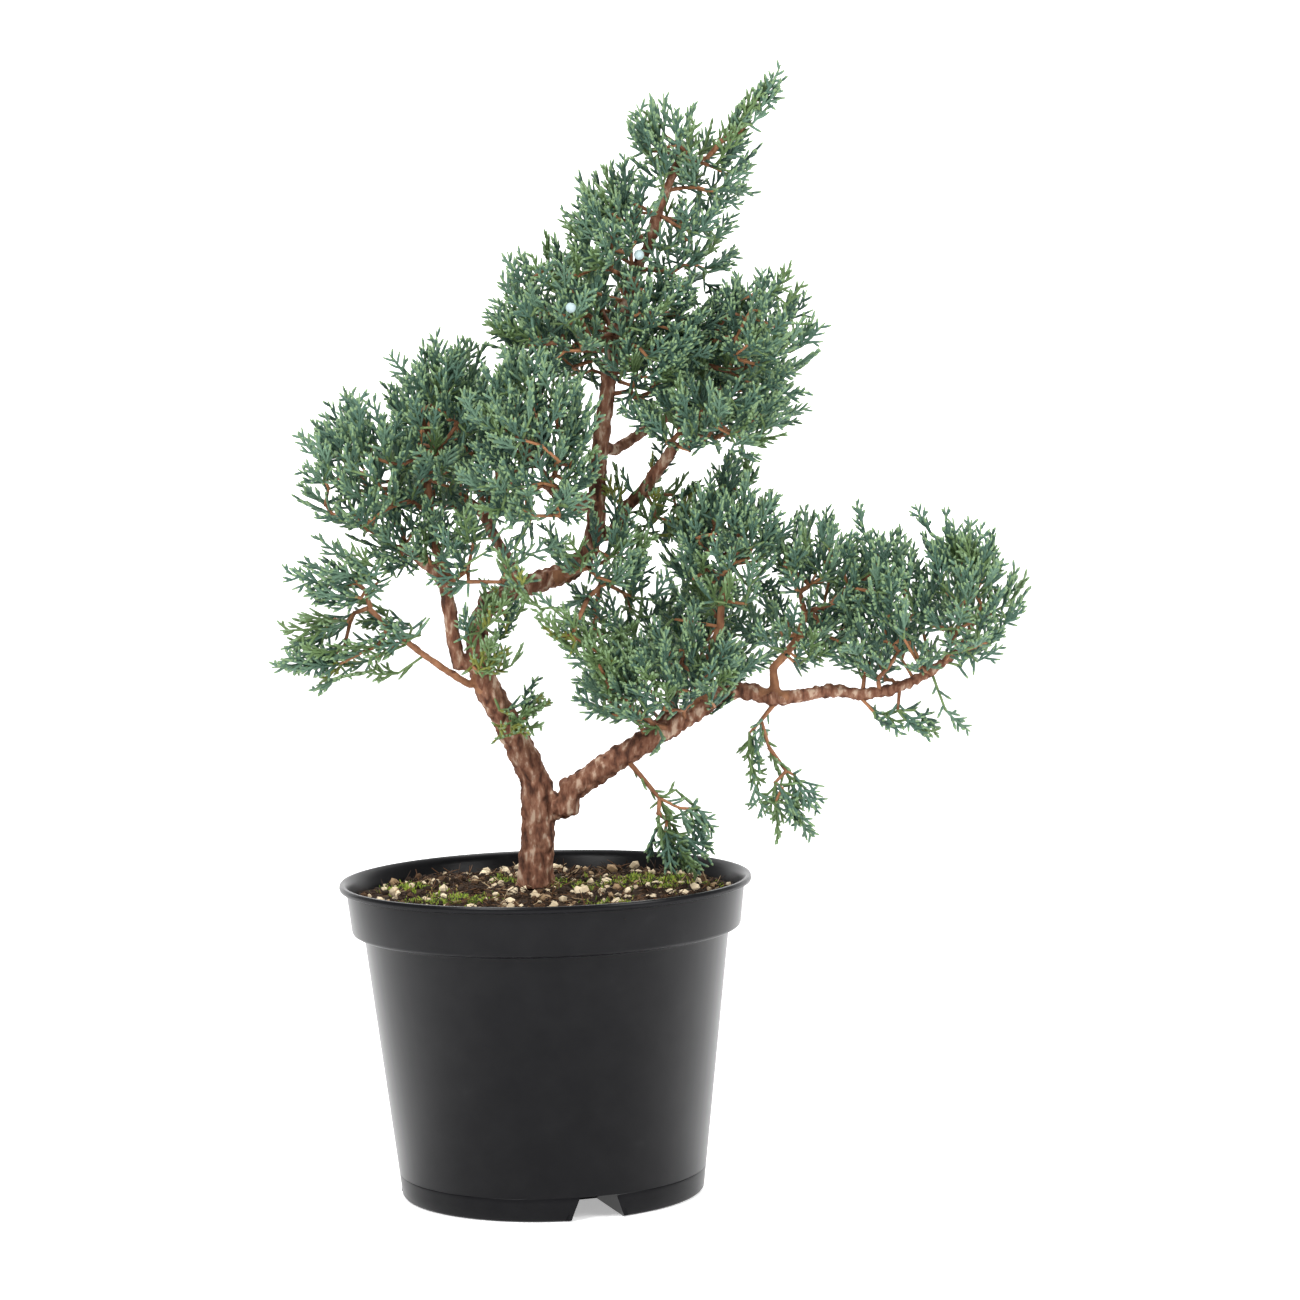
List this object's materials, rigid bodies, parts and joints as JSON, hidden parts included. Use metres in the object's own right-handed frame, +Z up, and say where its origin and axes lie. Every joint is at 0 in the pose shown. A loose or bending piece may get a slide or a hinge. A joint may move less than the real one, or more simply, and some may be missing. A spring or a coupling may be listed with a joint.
{
  "type": "potted blaauw chinese juniper",
  "caption": "Young blaauw chinese juniper with an upright leader, a long side bough and feathery blue-green sprays, in a round black nursery pot of soil.",
  "frame": {"origin": "middle of the pot's underside, on the floor", "axes": "+Z up along the pot's axis, +X to the right and +Y away as the plant is seen from its front"},
  "size_m": [0.3255, 0.19, 0.5077],
  "materials": {
    "pot": "satin",
    "soil": "rough",
    "bark": "rough",
    "foliage_blue": "matte",
    "foliage_green": "matte"
  },
  "bodies": {
    "root": {"pot": "pot", "soil": "soil", "trunk": "bark", "left_limb": "bark", "cross_limb": "bark", "leader": "bark", "left_bough": "bark", "left_riser": "bark", "lower_left_twig": "bark", "back_left_bough": "bark", "centre_twig": "bark", "front_bough": "bark", "upper_right_bough": "bark", "back_right_bough": "bark", "right_bough": "bark", "right_bough_end": "bark", "right_riser_inner": "bark", "right_riser_outer": "bark", "back_low_bough": "bark", "foliage_top_shoot": "foliage_green", "foliage_front_shoot": "foliage_green", "foliage_end_shoot": "foliage_green", "foliage_hanging_inner": "foliage_green", "foliage_hanging_middle": "foliage_green", "foliage_hanging_outer": "foliage_green", "foliage_top_left": "foliage_blue", "foliage_top_right": "foliage_blue", "foliage_upper_left": "foliage_blue", "foliage_upper_right": "foliage_blue", "foliage_left_shoulder": "foliage_blue", "foliage_middle": "foliage_blue", "foliage_right_high": "foliage_blue", "foliage_right_low": "foliage_blue", "foliage_front_lobe": "foliage_blue", "foliage_left_high": "foliage_blue", "foliage_left_outer": "foliage_blue", "foliage_left_base": "foliage_blue", "foliage_left_fan": "foliage_blue", "foliage_left_open": "foliage_green", "foliage_inner_left": "foliage_blue", "foliage_inner_stem": "foliage_blue", "foliage_inner_tuft": "foliage_green", "foliage_centre_fan": "foliage_blue", "foliage_centre_low": "foliage_blue", "foliage_under_bough": "foliage_blue", "foliage_mid_bough": "foliage_blue", "foliage_cone": "foliage_blue", "foliage_outer_high": "foliage_blue", "foliage_outer_low": "foliage_blue", "foliage_end_inner": "foliage_blue", "foliage_end_outer": "foliage_blue", "foliage_back_left": "foliage_blue", "foliage_back_shoulder": "foliage_blue", "foliage_back_right": "foliage_blue", "foliage_back_low": "foliage_blue"}
  },
  "joints": []
}
